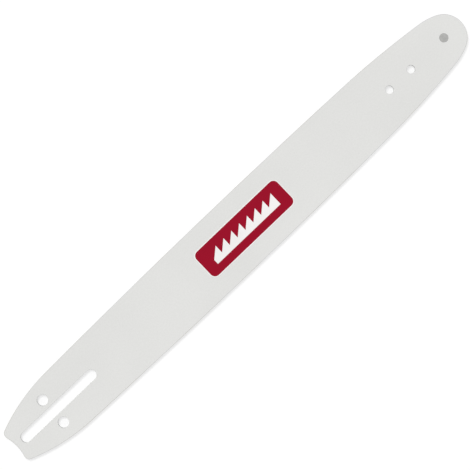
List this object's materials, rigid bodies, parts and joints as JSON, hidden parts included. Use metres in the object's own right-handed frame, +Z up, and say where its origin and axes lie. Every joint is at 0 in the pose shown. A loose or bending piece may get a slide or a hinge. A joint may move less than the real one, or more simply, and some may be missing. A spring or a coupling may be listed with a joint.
{
  "type": "chainsaw guide bar",
  "caption": "Flat laminated steel guide bar with a chain groove round its edge, a free-turning sprocket in the round nose, a stud slot at the tail and a red panel on one side.",
  "frame": {"origin": "centre of the stud slot, on the bar's lower face", "axes": "+X along the bar from the tail to the nose, +Y across the bar, +Z up through the plates"},
  "size_m": [0.4551, 0.0532, 0.0044],
  "materials": {
    "rail_paint": "satin pale grey paint, with bare ground steel on the running edges",
    "core_steel": "plain rolled steel",
    "sprocket_steel": "hardened stamped steel",
    "bearing_steel": "ground bearing steel",
    "rivet_steel": "bare steel, pressed flush",
    "label_print": "printed film, red with a pale border"
  },
  "bodies": {
    "bar": {"upper_rail_plate": "rail_paint", "lower_rail_plate": "rail_paint", "core_plate": "core_steel", "nose_rivet": "rivet_steel", "bearing_inner_race": "bearing_steel", "side_label": "label_print"},
    "sprocket": {"nose_sprocket": "sprocket_steel"},
    "roller_ring": {"bearing_roller_01": "bearing_steel", "bearing_roller_02": "bearing_steel", "bearing_roller_03": "bearing_steel", "bearing_roller_04": "bearing_steel", "bearing_roller_05": "bearing_steel", "bearing_roller_06": "bearing_steel", "bearing_roller_07": "bearing_steel", "bearing_roller_08": "bearing_steel", "bearing_roller_09": "bearing_steel", "bearing_roller_10": "bearing_steel", "bearing_roller_11": "bearing_steel", "bearing_roller_12": "bearing_steel", "bearing_roller_13": "bearing_steel", "bearing_roller_14": "bearing_steel", "bearing_roller_15": "bearing_steel", "bearing_roller_16": "bearing_steel", "bearing_roller_17": "bearing_steel", "bearing_roller_18": "bearing_steel", "bearing_roller_19": "bearing_steel"}
  },
  "joints": [
    {"name": "sprocket_spin", "type": "hinge", "parent": "bar", "child": "sprocket", "pos_m": [0.3935, 0, 0.00215], "axis": [0, 0, 1], "continuous": true},
    {"name": "roller_orbit", "type": "hinge", "parent": "bar", "child": "roller_ring", "pos_m": [0.3935, 0, 0.00215], "axis": [0, 0, 1], "continuous": true}
  ],
  "couplings": [
    {"joint": "roller_orbit", "follows": "sprocket_spin", "ratio": 0.5789}
  ]
}
